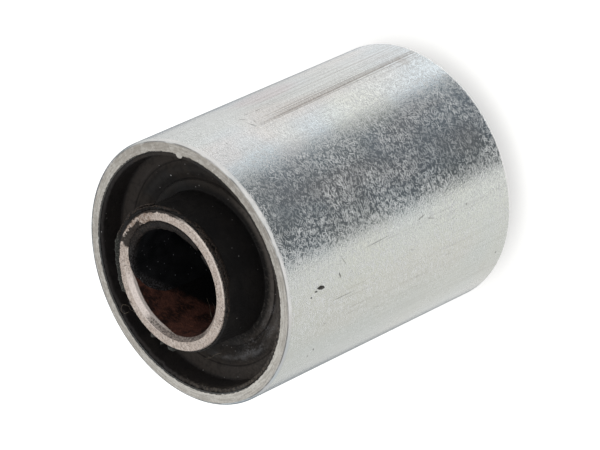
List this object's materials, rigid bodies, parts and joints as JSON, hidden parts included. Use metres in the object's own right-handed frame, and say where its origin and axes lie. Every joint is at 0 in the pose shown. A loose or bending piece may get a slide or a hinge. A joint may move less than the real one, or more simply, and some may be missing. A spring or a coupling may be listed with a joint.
{
  "type": "rubber metal bush",
  "caption": "Rubber metal bush: a steel outer sleeve and a longer steel inner sleeve with a bonded rubber ring between them.",
  "frame": {"origin": "centre of the lower end face of the inner sleeve", "axes": "+Z along the bore, up through the end that the picture shows; the camera of the picture is on the -Y side"},
  "size_m": [0.028, 0.028, 0.0376],
  "materials": {
    "zinc_plated_steel": "zinc plated, bright, with fine handling scratches",
    "moulded_rubber": "moulded black rubber with a faint bloom",
    "bare_steel": "bare cut steel with light rust in the bore"
  },
  "bodies": {
    "root": {"outer_sleeve": "zinc_plated_steel", "rubber": "moulded_rubber", "inner_sleeve": "bare_steel"}
  },
  "joints": []
}
